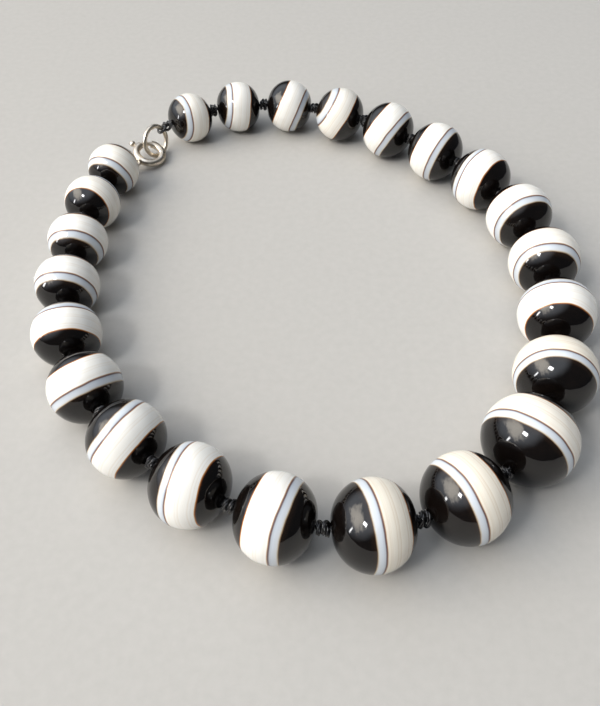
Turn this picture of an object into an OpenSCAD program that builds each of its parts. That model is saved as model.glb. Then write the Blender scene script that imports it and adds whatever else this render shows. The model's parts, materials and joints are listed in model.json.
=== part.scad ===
// Necklace of 23 drilled agate beads, graduated from the clasp to the middle of the string.
// The beads are knotted one by one on a thread and closed with a spring ring and a jump ring.
// It lies flat as one closed loop: every bead rests on the surface z = 0.

/* [Beads] */
// Diameter across the hole of the middle bead, the largest
middle_bead_d = 20; // [19.4:0.2:20.6]
// Diameter across the hole of the two beads beside the middle one
large_bead_d = 18.6; // [18:0.2:19.2]
// Diameter across the hole of the two beads beside the clasp
small_bead_d = 14.6; // [14.2:0.2:15.2]
// Length of a bead along its hole, as a share of its diameter
bead_length_share = 0.885; // [0.87:0.005:0.9]
// Diameter of the hole drilled through each bead
bore_d = 1.2; // [1.1:0.1:1.5]

/* [Thread] */
// Diameter of the thread
thread_d = 0.9; // [0.6:0.1:0.9]
// Diameter across the string of the knot between two beads
knot_d = 4.2; // [3.6:0.1:4.2]
// Length along the string of the knot between two beads
knot_l = 2.2; // [2:0.05:2.2]
// Diameter of the round knot at each end of the string
end_knot_d = 2.5; // [2.2:0.1:2.5]
// Room for a knot, from the end of one bead to the next
knot_room = 2.8; // [2.8:0.1:3.1]

/* [Clasp] */
// Outer diameter of the spring ring
ring_d = 10; // [10:0.1:10.2]
// Diameter of the spring ring's tube
tube_d = 2.2; // [2.2:0.05:2.3]
// Diameter of the sliding bolt inside the tube
bolt_d = 1.24; // [1.2:0.02:1.24]
// How far the trigger turns the bolt back, in degrees
bolt_travel = 54; // [40:1:54]
// Outer diameter of the jump ring
link_d = 10; // [10:0.1:10.2]
// Wire of the jump ring
link_wire_d = 1.3; // [1.2:0.05:1.3]

/* [Lie of the loop] */
// How much longer than wide the loop lies
loop_oval = 0.12; // [0.1:0.01:0.14]
// Direction of the loop's long way, in degrees
oval_turn = 106.5; // [100:0.5:110]
// How much the loop is drawn out to three sides
loop_egg = 0.016; // [0:0.001:0.03]
// How much the loop is drawn out to four corners
loop_square = 0.024; // [0:0.001:0.03]
// Direction of one of the four corners, in degrees
square_turn = 23; // [18:1:28]
// Where on the loop the clasp lies, in degrees
clasp_turn = 130; // [120:1:134]

/* [Hidden] */
$fn = 48;
bead_count = 23;
middle = (bead_count + 1) / 2;
beads = [1:bead_count];

// The hollow of the tube and what runs in it
channel_d = 1.4;
stem_d = 0.7;
slot_w = 0.9;
knob_d = 1.8;
knob_r = 6;

// Places round the spring ring, in degrees from the side where the jump ring hangs
gap_from = 35;
gap_to = 85;
socket_depth = 8;
bolt_from = 30;
bolt_to = 142;
trigger_at = 100;
slot_margin = 6.2;
channel_to = 204;
cut_past = 1;

// The small eye soldered to the spring ring, where the thread is tied
eye_r = 1.05;
eye_wire_d = 0.7;
solder_depth = 0.2;

// The thread's loops through the eye and round the jump ring, and where each is tied
eye_loop_r = 1;
eye_tie_turn = 110;
link_loop_r = 1.3;
link_tie_turn = 30;

// How the two rings lie between the end beads: the jump ring hangs in the spring ring
ring_tilt = 18;
link_lean = 15;
link_lift = 2.1;
eye_reach = 3.1;
link_reach = 3.2;

ring_r = (ring_d - tube_d) / 2;
link_r = (link_d - link_wire_d) / 2;
eye_x = -(ring_d / 2 + eye_r - solder_depth);
eye_loop_x = eye_x - eye_r;
tie_x = ring_r + link_r * cos(link_tie_turn);
ring_lead = eye_reach - eye_loop_x;
clasp_stretch = ring_lead + tie_x + link_reach;

function bead_name(i) = str("bead_", i < 10 ? "0" : "", i);

// Sizes of the beads, counted from the clasp down the left side
function bead_d(i) =
    i == middle ? middle_bead_d
    : large_bead_d - (large_bead_d - small_bead_d) * (abs(i - middle) - 1) / (middle - 2);
function bead_l(i) = bead_d(i) * bead_length_share;

// Length of string from the middle of the clasp to the centre of a bead
function string_to(i) =
    i == 1 ? (clasp_stretch + bead_l(1)) / 2
    : string_to(i - 1) + (bead_l(i - 1) + bead_l(i)) / 2 + knot_room;
string_l = string_to(bead_count) + (bead_l(bead_count) + clasp_stretch) / 2;

// The loop as a closed curve of mean radius 1, walked in steps of one degree from the clasp
function loop_shape(a) =
    1 + loop_oval * cos(2 * (a - oval_turn)) + loop_egg * cos(3 * a)
    + loop_square * cos(4 * (a - square_turn));
function loop_point(a) = loop_shape(a) * [cos(a), sin(a)];
loop_steps = [for (k = [1:360]) norm(loop_point(clasp_turn + k) - loop_point(clasp_turn + k - 1))];
loop_walk = [for (k = 0, s = 0; k <= 360; s = s + (k < 360 ? loop_steps[k] : 0), k = k + 1) s];

// The curve's size comes from the string's own length, so the loop always closes
loop_size = string_l / loop_walk[360];
turns = [for (k = [0:360]) [loop_walk[k] * loop_size, clasp_turn + k]];
function on_loop(s) = loop_size * loop_point(lookup(s, turns));
function heading(s) =
    let (way = on_loop(s + 0.5) - on_loop(s - 0.5))
    atan2(way.y, way.x);

// Where each bead lies: the loop is moved so that its box is centred on the origin
function bead_turn(i) = heading(string_to(i));
function half_x(i) = (bead_l(i) + (bead_d(i) - bead_l(i)) * abs(sin(bead_turn(i)))) / 2;
function half_y(i) = (bead_l(i) + (bead_d(i) - bead_l(i)) * abs(cos(bead_turn(i)))) / 2;
loop_middle = [
    max([for (i = beads) on_loop(string_to(i)).x + half_x(i)])
    + min([for (i = beads) on_loop(string_to(i)).x - half_x(i)]),
    max([for (i = beads) on_loop(string_to(i)).y + half_y(i)])
    + min([for (i = beads) on_loop(string_to(i)).y - half_y(i)])
] / 2;
function bead_at(i) =
    let (p = on_loop(string_to(i)) - loop_middle)
    [p.x, p.y, bead_d(i) / 2];
function along(i, way) = bead_at(i) + way * [cos(bead_turn(i)), sin(bead_turn(i)), 0];
function bore_end(i, side) = along(i, side * bead_l(i) / 2);
function knot_side(i, side) = along(i, side * (bead_l(i) + knot_room) / 2);

// The clasp lies in a straight line from the first bead's hole to the last one's
first_end = bore_end(1, -1);
clasp_way = bore_end(bead_count, 1) - first_end;
clasp_dir = atan2(clasp_way.y, clasp_way.x);
ring_at = first_end + ring_lead * [cos(clasp_dir), sin(clasp_dir), 0];

// Points of the clasp's own frame, in the part's frame
function in_clasp(p) = [
    ring_at.x + p.x * cos(clasp_dir) - p.y * sin(clasp_dir),
    ring_at.y + p.x * sin(clasp_dir) + p.y * cos(clasp_dir),
    p.z
];

// The jump ring leans and rests on the surface, and the spring ring lies tilted on it
ring_up = [0, -sin(ring_tilt), cos(ring_tilt)];
link_up = [0, sin(link_lean), cos(link_lean)];
ring_z = (link_r - link_lift) * cos(link_lean) + link_wire_d / 2;
link_centre = [ring_r, 0, ring_z] + link_lift * link_up;

// Where the thread meets its two loops
eye_tie_end =
    [eye_loop_x + eye_loop_r * cos(eye_tie_turn), 0, ring_z] + eye_loop_r * sin(eye_tie_turn) * ring_up;
link_tie_end =
    link_centre + (link_r + link_loop_r) * (cos(link_tie_turn) * [1, 0, 0] + sin(link_tie_turn) * link_up);

module on_bead(i) {
    translate(bead_at(i))
        rotate([0, 0, bead_turn(i)])
            rotate([0, 90, 0])
                children();
}

module on_clasp() {
    translate([ring_at.x, ring_at.y, 0])
        rotate([0, 0, clasp_dir])
            children();
}

module on_ring() {
    on_clasp()
        translate([0, 0, ring_z])
            rotate([ring_tilt, 0, 0])
                children();
}

module on_link() {
    on_clasp()
        translate(link_centre)
            rotate([90 - link_lean, 0, 0])
                children();
}

module wire_ring(r, d) {
    rotate_extrude()
        translate([r, 0])
            circle(d = d);
}

module wire_arc(r, d, from, to) {
    rotate([0, 0, from])
        rotate_extrude(angle = to - from)
            translate([r, 0])
                circle(d = d);
}

module strand(a, b) {
    way = b - a;
    translate(a)
        rotate([0, acos(way.z / norm(way)), atan2(way.y, way.x)])
            cylinder(d = thread_d, h = norm(way));
}

// The knot after a bead: pressed flat, dimpled where the thread goes in, and square to the string
module knot(i) {
    way = along(i, 1) - bead_at(i) + along(i + 1, 1) - bead_at(i + 1);
    translate((bore_end(i, 1) + bore_end(i + 1, -1)) / 2)
        rotate([0, 90, atan2(way.y, way.x)])
            rotate_extrude()
                intersection() {
                    translate([(knot_d - knot_l) / 2, 0])
                        circle(d = knot_l);
                    translate([0, -knot_l])
                        square([knot_d, 2 * knot_l]);
                }
}

// An end knot, with its seam turned off to the side of the string
module end_knot(at, way) {
    translate(at)
        rotate([0, 0, way + 90])
            sphere(d = end_knot_d);
}

// A bead is round with a small flat spot round each end of its hole
module bead(i) {
    l = bead_l(i);
    flat_r = (bead_d(i) - l) / 2;
    color("#33241f")
        on_bead(i)
            rotate_extrude()
                intersection() {
                    translate([flat_r, 0])
                        circle(d = l);
                    translate([bore_d / 2, -l])
                        square([bead_d(i), 2 * l]);
                }
}

module thread() {
    color("#1c1b1d") {
        for (i = beads)
            strand(knot_side(i, -1), knot_side(i, 1));
        for (i = [1:bead_count - 1])
            knot(i);
        eye_tie(knot_side(1, -1));
        link_tie(knot_side(bead_count, 1));
    }
}

// From the first bead's knot down to a loop through the spring ring's eye
module eye_tie(from) {
    end_knot(from, bead_turn(1));
    strand(from, in_clasp(eye_tie_end));
    on_ring()
        translate([eye_loop_x, 0, 0])
            rotate([90, 0, 0])
                wire_ring(eye_loop_r, thread_d);
}

// From the last bead's knot to a loop round the jump ring's wire
module link_tie(from) {
    end_knot(from, bead_turn(bead_count));
    strand(from, in_clasp(link_tie_end));
    on_link()
        rotate([0, 0, link_tie_turn])
            translate([link_r, 0, 0])
                rotate([90, 0, 0])
                    wire_ring(link_loop_r, thread_d);
}

// A hollow tube bent to a ring, open at the gap, slotted for the trigger, with its eye
module spring_ring() {
    color("#c8c2b6")
        on_ring()
            difference() {
                union() {
                    wire_arc(ring_r, tube_d, gap_to, gap_from + 360);
                    translate([eye_x, 0, 0])
                        wire_ring(eye_r, eye_wire_d);
                }
                wire_arc(ring_r, channel_d, gap_to - cut_past, channel_to);
                wire_arc(ring_r, channel_d, gap_from - socket_depth, gap_from + cut_past);
                rotate([0, 0, trigger_at - slot_margin])
                    rotate_extrude(angle = bolt_travel + 2 * slot_margin)
                        translate([ring_r, -slot_w / 2])
                            square([tube_d, slot_w]);
            }
}

// The bolt closes the gap: the trigger turns it back into the tube
module clasp_bolt() {
    color("#d2ccc0")
        on_ring() {
            wire_arc(ring_r, bolt_d, bolt_from, bolt_to);
            rotate([0, 0, trigger_at]) {
                translate([ring_r, 0, 0])
                    rotate([0, 90, 0])
                        cylinder(d = stem_d, h = knob_r - ring_r);
                translate([knob_r, 0, 0])
                    sphere(d = knob_d);
            }
        }
}

module jump_ring() {
    color("#c8c2b6")
        on_link()
            wire_ring(link_r, link_wire_d);
}

for (i = beads)
    bead(i);
thread();
spring_ring();
clasp_bolt();
jump_ring();
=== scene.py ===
import json
import math
import random

import bpy
import numpy as np
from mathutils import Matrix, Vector


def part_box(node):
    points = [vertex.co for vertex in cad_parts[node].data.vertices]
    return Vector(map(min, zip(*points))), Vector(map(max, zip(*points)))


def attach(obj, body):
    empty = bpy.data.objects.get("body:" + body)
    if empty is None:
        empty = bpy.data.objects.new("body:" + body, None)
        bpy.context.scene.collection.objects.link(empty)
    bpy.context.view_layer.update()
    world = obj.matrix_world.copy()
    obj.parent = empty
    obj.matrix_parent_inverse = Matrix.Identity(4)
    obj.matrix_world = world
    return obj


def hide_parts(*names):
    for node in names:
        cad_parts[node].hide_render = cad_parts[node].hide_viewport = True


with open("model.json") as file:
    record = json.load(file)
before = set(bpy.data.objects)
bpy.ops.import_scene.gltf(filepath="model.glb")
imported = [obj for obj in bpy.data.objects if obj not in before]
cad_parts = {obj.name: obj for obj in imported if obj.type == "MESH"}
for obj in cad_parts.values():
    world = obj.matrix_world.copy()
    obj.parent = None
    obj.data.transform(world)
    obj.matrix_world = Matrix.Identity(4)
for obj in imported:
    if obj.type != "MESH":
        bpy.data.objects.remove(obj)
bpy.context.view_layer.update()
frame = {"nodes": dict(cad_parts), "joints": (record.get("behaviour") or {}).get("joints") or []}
nodes = frame["nodes"]
mm = 0.001
print("frame loaded:", len(nodes), "nodes")


# small helpers

def hexToLinear(text):
    parts = [int(text[i:i + 2], 16) / 255 for i in (1, 3, 5)]
    return [c / 12.92 if c <= 0.04045 else ((c + 0.055) / 1.055) ** 2.4 for c in parts]


def newMaterial(name):
    material = bpy.data.materials.new(name)
    material.use_nodes = True
    material.node_tree.nodes.clear()
    return material


# adds one node to a material, a lamp or the world: settings are its own fields, values its sockets,
# and links come from other nodes' outputs
def addNode(owner, kind, settings={}, values={}, links={}, stops=None):
    tree = owner.node_tree
    node = tree.nodes.new(kind)
    for key, value in settings.items():
        setattr(node, key, value)
    for key, value in values.items():
        if isinstance(value, str):
            value = hexToLinear(value) + [1]
        node.inputs[key].default_value = value
    for key, (other, output) in links.items():
        tree.links.new(other.outputs[output], node.inputs[key])
    if stops:
        ramp = node.color_ramp
        while len(ramp.elements) < len(stops):
            ramp.elements.new(0.5)
        for element, (place, colour, alpha) in zip(ramp.elements, stops):
            element.position = place
            element.color = hexToLinear(colour) + [alpha]
    return node


def meshObject(name, points, faces, material, smooth=True):
    mesh = bpy.data.meshes.new(name)
    mesh.from_pydata([tuple(p) for p in points], [], faces)
    mesh.validate()
    if smooth:
        mesh.polygons.foreach_set("use_smooth", [True] * len(mesh.polygons))
    mesh.materials.append(material)
    piece = bpy.data.objects.new(name, mesh)
    bpy.context.scene.collection.objects.link(piece)
    return piece


def unit(v):
    return np.asarray(v, float) / np.linalg.norm(v)


# beads

beadLook = {
    "ringSteps": 96,        # round the hole
    "arcSteps": 40,         # from one end of the hole to the other
    "rimSteps": 3,          # over the polished edge of the hole
    "rimRadius": 0.15,      # mm, of that edge
    "boreRadius": 0.6,      # mm, as drilled in the solid
    "rimSlack": 0.01,       # mm, to find the edges of the hole in the solid
}

# How the layers of the stone cross each bead, from the clasp down the left side and back up. lean tips
# them up and down and swing turns them sideways, in degrees from square to the hole. shift is how many mm
# along the string the white's middle lies from the bead's. The pale blue stripe lies on the side of
# stripe. The last value is how warm and lined the white is: partly the stone's own tone and partly painted
# shade, the creamier, more lined white standing for less light and the whiter one for brighter light.
# Lean, swing and shift were fitted to the photo for beads 1 to 21 and rounded to 5 degrees and 0.5 mm.
# The rest is chosen.
beadLayers = {
    1: {"lean": -10, "swing": 0, "shift": -0.5, "stripe": 1, "creamAndShade": 0.5},
    2: {"lean": 10, "swing": -5, "shift": 1.0, "stripe": -1, "creamAndShade": 0.5},
    3: {"lean": -5, "swing": 0, "shift": 0.0, "stripe": 1, "creamAndShade": 0.25},
    4: {"lean": -5, "swing": -5, "shift": -0.5, "stripe": 1, "creamAndShade": 0.25},
    5: {"lean": -10, "swing": -5, "shift": 0.5, "stripe": -1, "creamAndShade": 0.25},
    6: {"lean": -30, "swing": 0, "shift": -2.0, "stripe": 1, "creamAndShade": 0.25},
    7: {"lean": -20, "swing": 10, "shift": 1.0, "stripe": -1, "creamAndShade": 0.25},
    8: {"lean": 5, "swing": 10, "shift": 2.0, "stripe": -1, "creamAndShade": 0.25},
    9: {"lean": 0, "swing": -5, "shift": -1.0, "stripe": 1, "creamAndShade": 0.25},
    10: {"lean": -5, "swing": 10, "shift": 2.0, "stripe": -1, "creamAndShade": 1.0},
    11: {"lean": 5, "swing": 0, "shift": 1.5, "stripe": -1, "creamAndShade": 1.0},
    12: {"lean": 5, "swing": 0, "shift": 1.5, "stripe": -1, "creamAndShade": 0.75},
    13: {"lean": -10, "swing": 5, "shift": 0.5, "stripe": -1, "creamAndShade": 1.0},
    14: {"lean": -5, "swing": 0, "shift": -2.0, "stripe": 1, "creamAndShade": 0.25},
    15: {"lean": -5, "swing": -5, "shift": -0.5, "stripe": -1, "creamAndShade": 0.5},
    16: {"lean": 0, "swing": 0, "shift": 0.5, "stripe": -1, "creamAndShade": 0.25},
    17: {"lean": 0, "swing": 10, "shift": -1.0, "stripe": 1, "creamAndShade": 0.25},
    18: {"lean": 10, "swing": 10, "shift": 1.5, "stripe": -1, "creamAndShade": 0.25},
    19: {"lean": 25, "swing": 5, "shift": 1.5, "stripe": -1, "creamAndShade": 0.25},
    20: {"lean": 30, "swing": 15, "shift": 1.5, "stripe": 1, "creamAndShade": 0.5},
    21: {"lean": 20, "swing": -5, "shift": 0.0, "stripe": -1, "creamAndShade": 0.25},
    22: {"lean": 10, "swing": 0, "shift": 0.0, "stripe": 1, "creamAndShade": 0.25},
    23: {"lean": 10, "swing": 0, "shift": -0.5, "stripe": 1, "creamAndShade": 0.5},
}
lastBead = len(beadLayers)

agateLook = {
    "black": "#0B0807",
    "white": "#F7F6F2",
    # the creamier white: partly the stone's own tone, partly painted shade on beads standing in less light
    "whiteCream": "#F2EADB",
    "layerLine": "#DECDB4",
    "whiteWidth": 5.2,      # mm, the same in every bead
    "wobble": 0.22,         # mm, how far the layers bend
    "wobbleSize": 9.0,      # mm, from one bend to the next
    "stripeReach": 3.0,     # mm, from the white's end to where the stone is black, on the stripe's side
    "edgeReach": 0.6,       # mm, the same on the other side
    # what comes past the white on the stripe's side and on the other: the share of that reach, the colour
    # there, and how far it hides the white
    "stripe": [
        (0.00, "#E6D6BF", 0.0), (0.03, "#D0AE87", 1.0), (0.07, "#86655A", 1.0), (0.11, "#5C4645", 1.0),
        (0.15, "#81767A", 1.0), (0.20, "#BDC4CC", 1.0), (0.33, "#CDD3DA", 1.0), (0.55, "#D2D6DA", 1.0),
        (0.62, "#C9BEAB", 1.0), (0.66, "#7A6147", 1.0), (0.71, "#20160F", 1.0)],
    "edge": [
        (0.00, "#EADFCB", 0.0), (0.12, "#DDB88A", 1.0), (0.30, "#A9652F", 1.0), (0.50, "#4A2814", 1.0),
        (0.75, "#170D08", 1.0)],
    "layerSpacing": 0.45,   # mm, between lines in the white: drawn coarser than real, to show
    # fainter lines on the whitest beads are partly painted light, as if bright light washed them out
    "faintLines": 0.35,     # how strong the lines are where the white is whitest
    "haze": "#0A0604",      # what the cloudy places add to the black
    "hazeSize": 5.0,        # mm, from one cloudy place to the next
    "roughness": 0.06,
    "ior": 1.54,
    "depth": 0.08,          # how much of the light goes into the stone
    "depthReach": (0.5, 0.45, 0.4),     # mm, how far it goes, for red, green and blue
    "polishWave": 0.06,     # mm, how deep the hand polish waves
    "polishSize": 2.6,      # mm, from one wave to the next
}


# Polished banded agate: near-black stone with an opaque milky layer, fine growth lines in it,
# a pale blue stripe beside it and amber where the white thins out. High gloss.
def makeAgate():
    m = newMaterial("polishedBandedAgate")
    halfWhite = agateLook["whiteWidth"] / 2
    place = addNode(m, "ShaderNodeTexCoord")
    layer = addNode(m, "ShaderNodeAttribute", {"attribute_name": "layer"})
    split = addNode(m, "ShaderNodeSeparateXYZ", links={0: (layer, "Vector")})
    bend = addNode(m, "ShaderNodeTexNoise", values={
        "Scale": 1 / (agateLook["wobbleSize"] * mm), "Detail": 2.0, "Roughness": 0.45},
        links={"Vector": (place, "Object")})
    bendMm = addNode(m, "ShaderNodeMapRange", values={
        "From Min": 0.25, "From Max": 0.75, "To Min": -agateLook["wobble"], "To Max": agateLook["wobble"]},
        links={"Value": (bend, "Fac")})
    across = addNode(m, "ShaderNodeMath", {"operation": "ADD"},
                     links={0: (split, "X"), 1: (bendMm, "Result")})

    # lines of growth in the white
    lineNoise = addNode(m, "ShaderNodeTexNoise", {"noise_dimensions": "1D"}, values={
        "Scale": 1 / agateLook["layerSpacing"], "Detail": 3.0, "Roughness": 0.6},
        links={"W": (across, "Value")})
    lines = addNode(m, "ShaderNodeValToRGB", links={"Fac": (lineNoise, "Fac")}, stops=[
        (0.48, agateLook["white"], 0.0), (0.58, agateLook["white"], 0.3), (0.70, agateLook["white"], 1.0)])
    # the per-bead value mixes in the creamier white and stronger lines: partly the stone's tone, partly
    # painted shade
    white = addNode(m, "ShaderNodeMix", {"data_type": "RGBA"}, values={
        6: agateLook["white"], 7: agateLook["whiteCream"]}, links={0: (split, "Y")})
    lineShare = addNode(m, "ShaderNodeMapRange", values={"To Min": agateLook["faintLines"], "To Max": 1.0},
                        links={"Value": (split, "Y")})
    lineAmount = addNode(m, "ShaderNodeMath", {"operation": "MULTIPLY"},
                         links={0: (lines, "Alpha"), 1: (lineShare, "Result")})
    milky = addNode(m, "ShaderNodeMix", {"data_type": "RGBA"}, values={7: agateLook["layerLine"]},
                    links={0: (lineAmount, "Value"), 6: (white, 2)})

    # past the white's end: a purple-brown line, the pale blue stripe, a tan hair line and the black
    beyond = addNode(m, "ShaderNodeMath", {"operation": "SUBTRACT"}, values={1: halfWhite},
                     links={0: (across, "Value")})
    beyondShare = addNode(m, "ShaderNodeMath", {"operation": "DIVIDE"},
                          values={1: agateLook["stripeReach"]}, links={0: (beyond, "Value")})
    stripe = addNode(m, "ShaderNodeValToRGB", links={"Fac": (beyondShare, "Value")},
                     stops=agateLook["stripe"] + [(1.00, agateLook["black"], 1.0)])

    # past its other end: a hair of amber
    turned = addNode(m, "ShaderNodeMath", {"operation": "MULTIPLY"}, values={1: -1.0},
                     links={0: (across, "Value")})
    before = addNode(m, "ShaderNodeMath", {"operation": "SUBTRACT"}, values={1: halfWhite},
                     links={0: (turned, "Value")})
    beforeShare = addNode(m, "ShaderNodeMath", {"operation": "DIVIDE"},
                          values={1: agateLook["edgeReach"]}, links={0: (before, "Value")})
    edge = addNode(m, "ShaderNodeValToRGB", links={"Fac": (beforeShare, "Value")},
                   stops=agateLook["edge"] + [(1.00, agateLook["black"], 1.0)])

    withStripe = addNode(m, "ShaderNodeMix", {"data_type": "RGBA"},
                         links={0: (stripe, "Alpha"), 6: (milky, 2), 7: (stripe, "Color")})
    colour = addNode(m, "ShaderNodeMix", {"data_type": "RGBA"},
                     links={0: (edge, "Alpha"), 6: (withStripe, 2), 7: (edge, "Color")})

    # the black is faintly cloudy
    cloud = addNode(m, "ShaderNodeTexNoise", values={
        "Scale": 1 / (agateLook["hazeSize"] * mm), "Detail": 3.0}, links={"Vector": (place, "Object")})
    haze = addNode(m, "ShaderNodeValToRGB", links={"Fac": (cloud, "Fac")}, stops=[
        (0.45, "#000000", 1.0), (0.75, agateLook["haze"], 1.0)])
    cloudy = addNode(m, "ShaderNodeMix", {"data_type": "RGBA", "blend_type": "ADD"}, values={0: 1.0},
                     links={6: (colour, 2), 7: (haze, "Color")})

    # hand polish leaves faint waves, which break up the reflections
    waves = addNode(m, "ShaderNodeTexNoise", values={
        "Scale": 1 / (agateLook["polishSize"] * mm), "Detail": 1.0}, links={"Vector": (place, "Object")})
    polish = addNode(m, "ShaderNodeBump", values={"Distance": agateLook["polishWave"] * mm},
                     links={"Height": (waves, "Fac")})
    shader = addNode(m, "ShaderNodeBsdfPrincipled", values={
        "Roughness": agateLook["roughness"], "IOR": agateLook["ior"],
        "Subsurface Weight": agateLook["depth"], "Subsurface Scale": 1.0,
        "Subsurface Radius": [reach * mm for reach in agateLook["depthReach"]]},
        links={"Base Color": (cloudy, 2), "Normal": (polish, "Normal")})
    addNode(m, "ShaderNodeOutputMaterial", links={"Surface": (shader, "BSDF")})
    return m


def beadName(i):
    return f"bead_{i:02d}"


def beadCentre(i):
    lo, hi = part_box(beadName(i))
    return np.array((lo + hi) / 2)


# centre, way of the hole, diameter and length of a drilled bead, all from its solid
def measureBead(i):
    lo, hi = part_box(beadName(i))
    centre = beadCentre(i)
    points = np.array([v.co for v in nodes[beadName(i)].data.vertices]) - centre
    reach = np.linalg.norm(points, axis=1)
    rims = points[reach < reach.min() + beadLook["rimSlack"] * mm]      # they lie nearest the centre
    towards = beadCentre(min(i + 1, lastBead)) - beadCentre(max(i - 1, 1))
    ahead = rims @ towards > 0
    span = rims[ahead].mean(axis=0) - rims[~ahead].mean(axis=0)
    return centre, unit(span), hi.z - lo.z, np.linalg.norm(span)


# a turned shape: profile points are (along the axis, out from it)
def turnedMesh(profile, centre, axis, steps):
    side = unit(np.cross((0, 0, 1), axis))
    up = np.cross(axis, side)
    points, faces = [], []
    count = len(profile)
    for k in range(steps):
        a = 2 * math.pi * k / steps
        out = math.cos(a) * side + math.sin(a) * up
        for along, radius in profile:
            points.append(centre + along * axis + radius * out)
    for k in range(steps):
        for j in range(count):
            a, b = k * count, (k + 1) % steps * count
            faces.append((a + j, a + (j + 1) % count, b + (j + 1) % count, b + j))
    return points, faces


def beadProfile(diameter, length):
    half, flat = length / 2, (diameter - length) / 2
    rim, bore = beadLook["rimRadius"] * mm, beadLook["boreRadius"] * mm
    steps, rimSteps = beadLook["arcSteps"], beadLook["rimSteps"]
    profile = []
    for k in range(steps + 1):
        a = math.pi * k / steps - math.pi / 2
        profile.append((half * math.sin(a), flat + half * math.cos(a)))
    for k in range(rimSteps + 1):
        a = math.pi / 2 * k / rimSteps
        profile.append((half - rim + rim * math.cos(a), bore + rim - rim * math.sin(a)))
    for k in range(rimSteps + 1):
        a = math.pi / 2 * (1 - k / rimSteps)
        profile.append((-half + rim - rim * math.cos(a), bore + rim - rim * math.sin(a)))
    return profile[::-1]


# writes where each point lies across the layers, and how warm the white is, partly as painted shade, for the
# material
def addLayers(piece, centre, axis, look):
    up = unit(np.array((0, 0, 1)) - axis[2] * axis)
    side = np.cross(up, axis)
    normal = unit(axis + math.tan(math.radians(look["lean"])) * up
                  + math.tan(math.radians(look["swing"])) * side)
    layer = piece.data.attributes.new("layer", "FLOAT_VECTOR", "POINT")
    for vertex, value in zip(piece.data.vertices, layer.data):
        across = (np.array(vertex.co) - centre) @ normal / mm - look["shift"]
        value.vector = (across * look["stripe"], look["creamAndShade"], 0)


agate = makeAgate()
beads = {}
for i, look in beadLayers.items():
    centre, axis, diameter, length = measureBead(i)
    beads[i] = {"centre": centre, "axis": axis, "half": length / 2}
    points, faces = turnedMesh(beadProfile(diameter, length), centre, axis, beadLook["ringSteps"])
    piece = meshObject(f"agateBead{i:02d}", points, faces, agate)
    addLayers(piece, centre, axis, look)
    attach(piece, "necklace")
    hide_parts(beadName(i))
print("beads made:", len(beads))


# thread

threadLook = {
    "diameter": 0.94,       # mm
    "plies": 3,
    "pitch": 5.5,           # mm for one turn of a ply
    "plySides": 8,
    "plyOverlap": 1.04,     # the plies press into each other
    "fibreScale": (0.8, 4, 20),     # of the fibres' pattern: along a ply, round it and from ply to ply
    "step": 0.2,            # mm between rings where it shows
    "boreStep": 1.2,        # mm between rings inside the beads
    "knotHalf": 1.4,        # mm, half the room between two beads
    "knotSpread": 1.06,     # knots are pressed flat between the beads
    # how often a knot goes round itself, then in mm its thread past the room, and from strand to strand
    "beadKnot": {"turns": 3, "extra": 16.0, "spread": 0.92},
    "endKnot": {"turns": 1, "extra": 7.0, "spread": 1.0},
    "rollSeed": 7,          # for how far each bead knot is rolled round the string
    "endKnotRolls": (0.4, 2.0),
    "endKnotTrim": 3,       # points cut off its outer end, where the tie takes over
    "black": "#0D0C0D",
    "grey": "#1F1D1E",
    "roughness": (0.16, 0.32),
    "fibreDepth": 0.03,     # mm
    # the loop through the clasp's eye, in mm in the eye's own directions: along the clasp, up, across
    "eyeLoopRadius": 1.0,
    "eyeLoopArc": range(30, -221, -25),     # degrees, from the clasp's side
    "eyeWire": 0.7,
    "eyeLead": 0.8,         # how far its two ends run side by side
    "eyeBinding": (-0.40, 1.85, 0.35),
    "bindingTurns": 3,
    "bindingSteps": 16,     # in each turn
    "bindingPitch": 0.40,
    "bindingHalf": (1.02, 0.6),     # across both strands, and square to that
    "bindingTaper": 0.25,   # the share by which its last turns draw in
    # the loop round the jump ring
    "linkLoopRadius": 1.3,  # mm
    "linkLoopArc": range(60, 301, 20),      # degrees, from the far side of the wire
    "linkRadius": 4.35,     # mm, to the middle of the jump ring's wire
    "linkLoopTurn": 30,     # degrees up from the jump ring's far side
    "linkLean": 15,         # degrees the jump ring leans
}

# how a knot is drawn tight, in mm: a chain of points shortens while its strands keep apart
knotPull = {
    "tail": 8.0,            # how far out each end starts
    "coil": 4.0,            # half the length of the loose turns, and how far they go past it
    "coilPast": 1.0,
    "coilRadius": 2.6,
    "core": 0.6,            # how far the string starts from the middle of its turns
    "tailPoints": 30,
    "turnPoints": 40,
    "link": 0.168,          # between points, once it is tight
    "strandsOff": 1.5,      # points nearer than this many strands along the thread don't push
    "rounds": 700,
    "shortening": 0.7,      # the share of the rounds in which it shortens
    "passes": 10,           # in each round
    "smoothing": 0.12,
    "pushing": 0.25,
    "centring": 0.05,
    "centredFrom": 4,       # points at each end that aren't centred
    "wall": 0.8,            # half the room that the turns end in
    "walledFrom": 3,        # points at each end that may leave it
    "straighten": 0.5,      # draws the points beside the ends back on to the string
}


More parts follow.
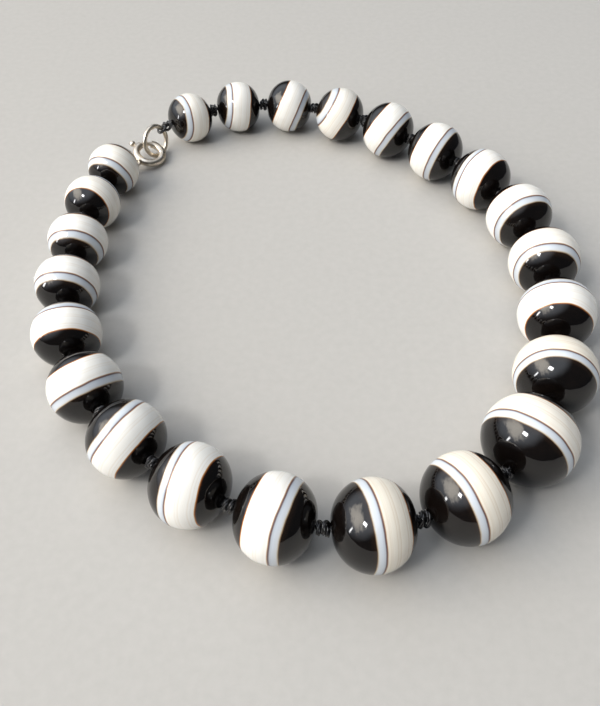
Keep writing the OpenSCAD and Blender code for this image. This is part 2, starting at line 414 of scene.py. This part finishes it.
# Glossy black silk thread of three plies: the gloss runs along the fibres and breaks up on them
def makeThread():
    m = newMaterial("blackSilkThread")
    fibre = addNode(m, "ShaderNodeAttribute", {"attribute_name": "fibre"})
    # fibres are drawn about 0.05 mm wide, coarser than real ones
    fibres = addNode(m, "ShaderNodeTexNoise", values={"Scale": 1.0, "Detail": 2.0, "Roughness": 0.6},
                     links={"Vector": (fibre, "Vector")})
    shade = addNode(m, "ShaderNodeValToRGB", links={"Fac": (fibres, "Fac")}, stops=[
        (0.3, threadLook["black"], 1.0), (0.7, threadLook["grey"], 1.0)])
    gloss = addNode(m, "ShaderNodeMapRange", values={
        "From Min": 0.3, "From Max": 0.7, "To Min": threadLook["roughness"][0],
        "To Max": threadLook["roughness"][1]}, links={"Value": (fibres, "Fac")})
    bump = addNode(m, "ShaderNodeBump", values={"Strength": 0.25, "Distance": threadLook["fibreDepth"] * mm},
                   links={"Height": (fibres, "Fac")})
    shader = addNode(m, "ShaderNodeBsdfPrincipled", values={
        "IOR": 1.55, "Coat Weight": 0.6, "Coat Roughness": 0.15, "Coat IOR": 1.45},
                     links={"Base Color": (shade, "Color"), "Roughness": (gloss, "Result"),
                            "Normal": (bump, "Normal")})
    addNode(m, "ShaderNodeOutputMaterial", links={"Surface": (shader, "BSDF")})
    return m


# A knot pulled tight between two bead faces. It starts loose: in along x, back round itself and out
# along x again.
def tieKnot(turns, extra, spread):
    look, half = knotPull, threadLook["knotHalf"]
    far, coil, radius, core = look["tail"], look["coil"], look["coilRadius"], look["core"]
    chain = [(x, core * min(1, (x + far) / far), 0) for x in np.linspace(-far, coil, look["tailPoints"])]
    for t in np.linspace(0, 1, look["turnPoints"] * turns + 1):
        a = 2 * math.pi * turns * t
        chain.append(((coil + look["coilPast"]) * (1 - 2 * t), radius * math.cos(a), radius * math.sin(a)))
    chain += [(x, -core * min(1, (far - x) / far), 0) for x in np.linspace(-coil, far, look["tailPoints"])]
    endLength = 2 * half + extra
    count = int(round(endLength / look["link"]))
    startLength = np.linalg.norm(np.diff(np.array(chain), axis=0), axis=1).sum()
    chain = walk(chain, startLength / (count - 1))
    apart = int(math.ceil(look["strandsOff"] * spread / (endLength / (count - 1))))
    first, second = np.triu_indices(count, apart)
    centred = slice(look["centredFrom"], -look["centredFrom"])
    walled = slice(look["walledFrom"], -look["walledFrom"])
    for k in range(look["rounds"]):
        done = min(1, k / (look["rounds"] * look["shortening"]))
        link = startLength * (endLength / startLength) ** done / (count - 1)
        reach = far * (half / far) ** done
        limit = look["wall"] * max(1, reach / half)
        for _ in range(look["passes"]):
            chain[1:-1] += look["smoothing"] * ((chain[:-2] + chain[2:]) / 2 - chain[1:-1])
            way = np.diff(chain, axis=0)
            pull = way * (1 - link / np.linalg.norm(way, axis=1)[:, None]) / 2
            chain[:-1] += pull
            chain[1:] -= pull
            way = chain[second] - chain[first]
            gap = np.linalg.norm(way, axis=1)
            near = gap < spread
            if near.any():
                push = way[near] * ((spread - gap[near]) / gap[near] * look["pushing"])[:, None]
                np.add.at(chain, first[near], -push)
                np.add.at(chain, second[near], push)
            chain[centred, 1:] -= chain[centred, 1:].mean(axis=0) * look["centring"]
            chain[walled, 0] = np.clip(chain[walled, 0], -limit, limit)
            chain[0], chain[-1] = (-reach, 0, 0), (reach, 0, 0)
            chain[1, 1:] *= look["straighten"]
            chain[-2, 1:] *= look["straighten"]
    return chain


# evenly spaced points along a line of points
def walk(points, step):
    points = np.asarray(points, float)
    lengths = np.linalg.norm(np.diff(points, axis=0), axis=1)
    run = np.concatenate([[0], np.cumsum(lengths)])
    count = max(2, int(round(run[-1] / step)) + 1)
    at = np.linspace(0, run[-1], count)
    return np.stack([np.interp(at, run, points[:, k]) for k in range(3)], 1)


# a line of points with its corners cut off again and again, its two ends kept
def rounded(points, rounds=3, cut=0.25):
    points = np.asarray(points, float)
    for _ in range(rounds):
        early = points[:-1] * (1 - cut) + points[1:] * cut
        late = points[:-1] * cut + points[1:] * (1 - cut)
        between = np.stack([early, late], 1).reshape(-1, 3)[1:-1]
        points = np.concatenate([points[:1], between, points[-1:]])
    return points


# how far each point is along the line, and two directions square to it that don't twist
def lineFrame(line):
    ahead = np.gradient(line, axis=0)
    ahead /= np.linalg.norm(ahead, axis=1)[:, None]
    run = np.concatenate([[0], np.cumsum(np.linalg.norm(np.diff(line, axis=0), axis=1))])
    side = unit(np.cross(ahead[0], (0.3, 0.2, 1)))      # any way that the line doesn't start along
    sides = []
    for way in ahead:
        side = unit(side - (side @ way) * way)
        sides.append(side)
    return run, np.array(sides), np.cross(ahead, sides)


# strands twisted round one line of points: one mesh part as points, faces and places on the fibres
def twistStrands(line, plies, radius, offset, pitch):
    run, sides, ups = lineFrame(line)
    ring = threadLook["plySides"]
    alongPly, roundPly, plyToPly = threadLook["fibreScale"]
    points, faces, fibre = [], [], []
    for p in range(plies):
        start = len(points)
        angle = 2 * math.pi * (run / pitch + p / plies)
        middle = line + offset * (np.cos(angle)[:, None] * sides + np.sin(angle)[:, None] * ups)
        for j in range(ring * len(line)):
            k, a = j // ring, 2 * math.pi * (j % ring) / ring
            out = math.cos(angle[k] + a) * sides[k] + math.sin(angle[k] + a) * ups[k]
            points.append(middle[k] + radius * out)
            fibre.append((run[k] / mm * alongPly, roundPly * math.cos(a) + plyToPly * p,
                          roundPly * math.sin(a)))
        for k in range(len(line) - 1):
            a, b = start + k * ring, start + (k + 1) * ring
            faces += [(a + j, a + (j + 1) % ring, b + (j + 1) % ring, b + j) for j in range(ring)]
        faces.append(tuple(start + j for j in reversed(range(ring))))
        faces.append(tuple(len(points) - ring + j for j in range(ring)))
    return points, faces, fibre


# a knot set between two ends, rolled round the string
def placeKnot(knot, start, end, roll):
    middle, ahead = (start + end) / 2, unit(end - start)
    side = unit(np.cross((0, 0, 1), ahead))
    up = np.cross(ahead, side)
    c, s = math.cos(roll), math.sin(roll)
    y, z = c * side + s * up, c * up - s * side
    scale = np.linalg.norm(end - start) / (knot[-1, 0] - knot[0, 0])
    wide = threadLook["knotSpread"] * mm
    return middle + knot[:, :1] * scale * ahead + knot[:, 1:2] * wide * y + knot[:, 2:] * wide * z


blackThread = makeThread()
beadKnot = tieKnot(**threadLook["beadKnot"])
endKnot = tieKnot(**threadLook["endKnot"])
rolls = random.Random(threadLook["rollSeed"])
line = []
for i in range(1, lastBead + 1):
    bead = beads[i]
    start = bead["centre"] - bead["half"] * bead["axis"]
    end = bead["centre"] + bead["half"] * bead["axis"]
    if i > 1:
        roll = rolls.uniform(0, 2 * math.pi)
        line.extend(walk(placeKnot(beadKnot, lastEnd, start, roll), threadLook["step"] * mm))
    line.extend(walk([start, end], threadLook["boreStep"] * mm)[1:-1])
    lastEnd = end
first = beads[1]["centre"] - beads[1]["half"] * beads[1]["axis"]
last = beads[lastBead]["centre"] + beads[lastBead]["half"] * beads[lastBead]["axis"]


# the clasp's own directions, from its hinge
hinge = next(j for j in frame["joints"] if j["name"] == "trigger")
ringCentre, ringUp = np.array(hinge["pos_m"]), np.array(hinge["axis"])
along = unit((-ringUp[1], ringUp[0], 0))
across = np.cross(ringUp, along)


# points on a circle, at the angles given
def loopPoints(centre, x, y, radius, angles):
    return [centre + radius * mm * (math.cos(math.radians(a)) * x + math.sin(math.radians(a)) * y)
            for a in angles]


# from inside the first knot down through the eye and back up into the knot, and what binds it there
def eyeTie(knotCentre, knotEnd):
    eyeFar = min((np.array(v.co) - ringCentre) @ along for v in nodes["spring_ring"].data.vertices)
    centre = ringCentre + (eyeFar + threadLook["eyeWire"] * mm / 2) * along
    x, y, z = threadLook["eyeBinding"]
    bound = centre + mm * (x * along + y * ringUp + z * across)
    way = unit(knotCentre - bound)
    apart = unit(along - (along @ way) * way)
    side = np.cross(way, apart)
    half, lead = threadLook["diameter"] * mm / 2, threadLook["eyeLead"]
    line = [knotCentre, bound + half * apart + lead * mm * way, bound + half * apart]
    line += loopPoints(centre, along, ringUp, threadLook["eyeLoopRadius"], threadLook["eyeLoopArc"])
    line += [bound - half * apart, bound - half * apart + lead * mm * way, knotEnd]
    # the binding goes round both strands
    turns, steps = threadLook["bindingTurns"], threadLook["bindingSteps"]
    wide, high = threadLook["bindingHalf"]
    binding = []
    for k in range(turns * steps + 1):
        a, s = 2 * math.pi * k / steps, k / (turns * steps) - 0.5
        ease = 1 - threadLook["bindingTaper"] * abs(2 * s) ** 6
        binding.append(bound + way * s * turns * threadLook["bindingPitch"] * mm
                       + ease * (wide * mm * math.cos(a) * apart + high * mm * math.sin(a) * side))
    return rounded(line), rounded(binding, 1)


# from inside the last knot round the jump ring and back
def linkTie(knotCentre):
    lo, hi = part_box("jump_ring")
    lean, turn = math.radians(threadLook["linkLean"]), math.radians(threadLook["linkLoopTurn"])
    flatAcross = np.cross((0, 0, 1), along)
    linkUp = math.sin(lean) * flatAcross + math.cos(lean) * np.array((0, 0, 1))
    out = math.cos(turn) * along + math.sin(turn) * linkUp
    centre = np.array((lo + hi) / 2) + threadLook["linkRadius"] * mm * out
    square = np.cross(along, linkUp)
    loop = loopPoints(centre, out, square, threadLook["linkLoopRadius"], threadLook["linkLoopArc"])
    return rounded([knotCentre] + loop + [knotCentre])


half, trim = threadLook["knotHalf"] * mm, threadLook["endKnotTrim"]
firstRoll, lastRoll = threadLook["endKnotRolls"]
firstWay, lastWay = half * beads[1]["axis"], half * beads[lastBead]["axis"]
firstKnot, lastKnot = first - firstWay, last + lastWay
firstLine = placeKnot(endKnot, firstKnot - firstWay, first, firstRoll)[trim:]
lastLine = placeKnot(endKnot, last, lastKnot + lastWay, lastRoll)[:-trim]
eyeLine, binding = eyeTie(firstKnot, firstLine[0])
line = list(walk(np.concatenate([eyeLine[:-1], firstLine]), threadLook["step"] * mm)) + line
line += list(walk(np.concatenate([lastLine, linkTie(lastKnot)[1:]]), threadLook["step"] * mm))
plyRadius = threadLook["diameter"] * mm / 2 / (1 + 2 / math.sqrt(3))
points, faces, fibre = twistStrands(
    np.array(line), plies=threadLook["plies"], radius=plyRadius * threadLook["plyOverlap"],
    offset=2 * plyRadius / math.sqrt(3), pitch=threadLook["pitch"] * mm)
more, moreFaces, moreFibre = twistStrands(binding, plies=1, radius=plyRadius, offset=0, pitch=1)
faces += [tuple(len(points) + c for c in face) for face in moreFaces]
thread = meshObject("knottedThread", points + more, faces, blackThread)
values = thread.data.attributes.new("fibre", "FLOAT_VECTOR", "POINT")
values.data.foreach_set("vector", [c for f in fibre + moreFibre for c in f])
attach(thread, "necklace")
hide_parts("thread")
print("thread made:", len(thread.data.polygons), "faces")


# clasp

silverLook = {
    "colour": "#E6DCCD",
    "dull": "#BCAD97",
    "roughness": (0.20, 0.38),
    "filmSize": 1.5,        # mm, from one dull place to the next
}


# Worn silver: bright and a little warm, softly dulled in patches by a thin film
def makeSilver():
    m = newMaterial("wornSilver")
    place = addNode(m, "ShaderNodeTexCoord")
    film = addNode(m, "ShaderNodeTexNoise", values={
        "Scale": 1 / (silverLook["filmSize"] * mm), "Detail": 4.0}, links={"Vector": (place, "Object")})
    colour = addNode(m, "ShaderNodeValToRGB", links={"Fac": (film, "Fac")}, stops=[
        (0.35, silverLook["colour"], 1.0), (0.75, silverLook["dull"], 1.0)])
    gloss = addNode(m, "ShaderNodeMapRange", values={
        "To Min": silverLook["roughness"][0], "To Max": silverLook["roughness"][1]},
        links={"Value": (film, "Fac")})
    shader = addNode(m, "ShaderNodeBsdfPrincipled", values={"Metallic": 1.0},
                     links={"Base Color": (colour, "Color"), "Roughness": (gloss, "Result")})
    addNode(m, "ShaderNodeOutputMaterial", links={"Surface": (shader, "BSDF")})
    return m


silver = makeSilver()
for name in ("spring_ring", "clasp_bolt", "jump_ring"):
    nodes[name].data.materials.clear()
    nodes[name].data.materials.append(silver)
print("clasp finished")


# studio

studio = {
    "floor": "#B5B2AD",
    "floorGrain": "#B1AEA9",
    "grainSize": 2.0,       # mm
    "floorHalf": 3.0,       # m
    "fill": 0.077,          # how bright it is all round
    "backdrop": "#BFBCB5",  # what the camera sees beyond the floor
    # the big soft light over one side: how bright, and how many degrees out from its middle it fades
    "sky": {"from": (-0.56, 0.08, 0.82), "tint": "#ECF4FF", "strength": 1.62, "fade": (34, 66)},
    # each lamp: its way from the necklace, then m, m, how wide its beam is in degrees, and W
    "softbox": {
        "from": (-0.76, -0.08, 0.64), "distance": 1.84, "size": (2.50, 1.45), "beam": 120, "power": 27.0},
    "rightLamp": {
        "from": (-0.47, -0.43, 0.75), "distance": 1.4, "size": (0.22, 0.20), "beam": 90, "power": 1.2},
    "leftLamp": {
        "from": (-0.91, -0.34, 0.22), "distance": 1.4, "size": (0.10, 0.36), "beam": 24, "power": 0.05},
    # the softbox's warm cloth: folds across it, how ragged its fading is, and from where to where it fades
    "cloth": {"tint": "#FFF4E2", "folds": 4.5, "ragged": 0.7, "dark": 0.83, "bright": 0.55},
}


# Matt backdrop paper: one pale tone with a grain that hardly shows
def makeFloorPaper():
    m = newMaterial("paleBackdropPaper")
    place = addNode(m, "ShaderNodeTexCoord")
    grain = addNode(m, "ShaderNodeTexNoise", values={
        "Scale": 1 / (studio["grainSize"] * mm), "Detail": 4.0}, links={"Vector": (place, "Object")})
    colour = addNode(m, "ShaderNodeValToRGB", links={"Fac": (grain, "Fac")}, stops=[
        (0.3, studio["floorGrain"], 1.0), (0.7, studio["floor"], 1.0)])
    shader = addNode(m, "ShaderNodeBsdfPrincipled", values={"Roughness": 0.8, "Specular IOR Level": 0.2},
                     links={"Base Color": (colour, "Color")})
    addNode(m, "ShaderNodeOutputMaterial", links={"Surface": (shader, "BSDF")})
    return m


# a lamp that faces the necklace, unseen by the camera itself
def addLamp(name):
    look = studio[name]
    data = bpy.data.lights.new(name, "AREA")
    data.shape = "RECTANGLE"
    data.size, data.size_y = look["size"]
    data.spread = math.radians(look["beam"])
    data.energy = look["power"]
    lamp = bpy.data.objects.new(name, data)
    way = Vector(look["from"]).normalized()
    lamp.location = way * look["distance"]
    lamp.rotation_euler = way.to_track_quat("Z", "Y").to_euler()
    lamp.visible_camera = False
    bpy.context.scene.collection.objects.link(lamp)
    return data


# the softbox's cloth glows unevenly and fades towards its edges, so its reflection has no hard outline
def addCloth(data):
    cloth = studio["cloth"]
    data.use_nodes = True
    data.node_tree.nodes.clear()
    place = addNode(data, "ShaderNodeNewGeometry")
    middle = addNode(data, "ShaderNodeVectorMath", {"operation": "SUBTRACT"}, values={1: (0.5, 0.5, 0.0)},
                     links={0: (place, "Parametric")})
    folds = addNode(data, "ShaderNodeTexNoise", values={
        "Scale": cloth["folds"], "Detail": 3.0, "Roughness": 0.6}, links={"Vector": (place, "Parametric")})
    out = addNode(data, "ShaderNodeVectorMath", {"operation": "ABSOLUTE"}, links={0: (middle, "Vector")})
    split = addNode(data, "ShaderNodeSeparateXYZ", links={0: (out, "Vector")})
    far = addNode(data, "ShaderNodeMath", {"operation": "MAXIMUM"},
                  links={0: (split, "X"), 1: (split, "Y")})
    unevenly = addNode(data, "ShaderNodeMath", {"operation": "MULTIPLY_ADD"}, values={1: cloth["ragged"]},
                       links={0: (folds, "Fac"), 2: (far, "Value")})
    fade = addNode(data, "ShaderNodeMapRange", {"interpolation_type": "SMOOTHSTEP"}, values={
        "From Min": cloth["dark"], "From Max": cloth["bright"]}, links={"Value": (unevenly, "Value")})
    glow = addNode(data, "ShaderNodeEmission", values={"Color": cloth["tint"]},
                   links={"Strength": (fade, "Result")})
    addNode(data, "ShaderNodeOutputLight", links={"Surface": (glow, "Emission")})


# the big soft light, as broad as a bright ceiling, over a faint fill: the camera sees the backdrop instead
def addWorld():
    world = bpy.data.worlds.new("studioWorld")
    world.use_nodes = True
    world.node_tree.nodes.clear()
    sky = studio["sky"]
    inner, outer = (math.cos(math.radians(a)) for a in sky["fade"])
    place = addNode(world, "ShaderNodeTexCoord")
    towards = addNode(world, "ShaderNodeVectorMath", {"operation": "DOT_PRODUCT"},
                      values={1: unit(sky["from"])}, links={0: (place, "Generated")})
    glow = addNode(world, "ShaderNodeMapRange", {"interpolation_type": "SMOOTHSTEP"}, values={
        "From Min": outer, "From Max": inner, "To Min": studio["fill"], "To Max": sky["strength"]},
        links={"Value": (towards, "Value")})
    light = addNode(world, "ShaderNodeBackground", values={"Color": sky["tint"]},
                    links={"Strength": (glow, "Result")})
    backdrop = addNode(world, "ShaderNodeBackground", values={"Color": studio["backdrop"], "Strength": 1.0})
    path = addNode(world, "ShaderNodeLightPath")
    seen = addNode(world, "ShaderNodeMixShader", links={
        0: (path, "Is Camera Ray"), 1: (light, "Background"), 2: (backdrop, "Background")})
    addNode(world, "ShaderNodeOutputWorld", links={"Surface": (seen, "Shader")})
    bpy.context.scene.world = world


wide = studio["floorHalf"]
floor = meshObject("studioFloor", [(-wide, -wide, 0), (wide, -wide, 0), (wide, wide, 0), (-wide, wide, 0)],
                   [(0, 1, 2, 3)], makeFloorPaper(), smooth=False)
addCloth(addLamp("softbox"))
addLamp("rightLamp")
addLamp("leftLamp")
addWorld()
bpy.context.scene.view_settings.view_transform = "Standard"

cameraLook = {
    "place": (-0.0024, -0.1419, 0.1387),
    "downward": 49.2,       # degrees below level
    "lens": 38.8,           # mm
    "sensor": 36,           # mm, along the picture's long side
    "nearest": 0.01,        # m, what it still shows
}
camera = bpy.data.objects.new("camera", bpy.data.cameras.new("camera"))
camera.location = cameraLook["place"]
camera.rotation_euler = (math.radians(90 - cameraLook["downward"]), 0, 0)
camera.data.sensor_width = cameraLook["sensor"]
camera.data.lens = cameraLook["lens"]
camera.data.clip_start = cameraLook["nearest"]
bpy.context.scene.collection.objects.link(camera)
bpy.context.scene.camera = camera
print("studio set")
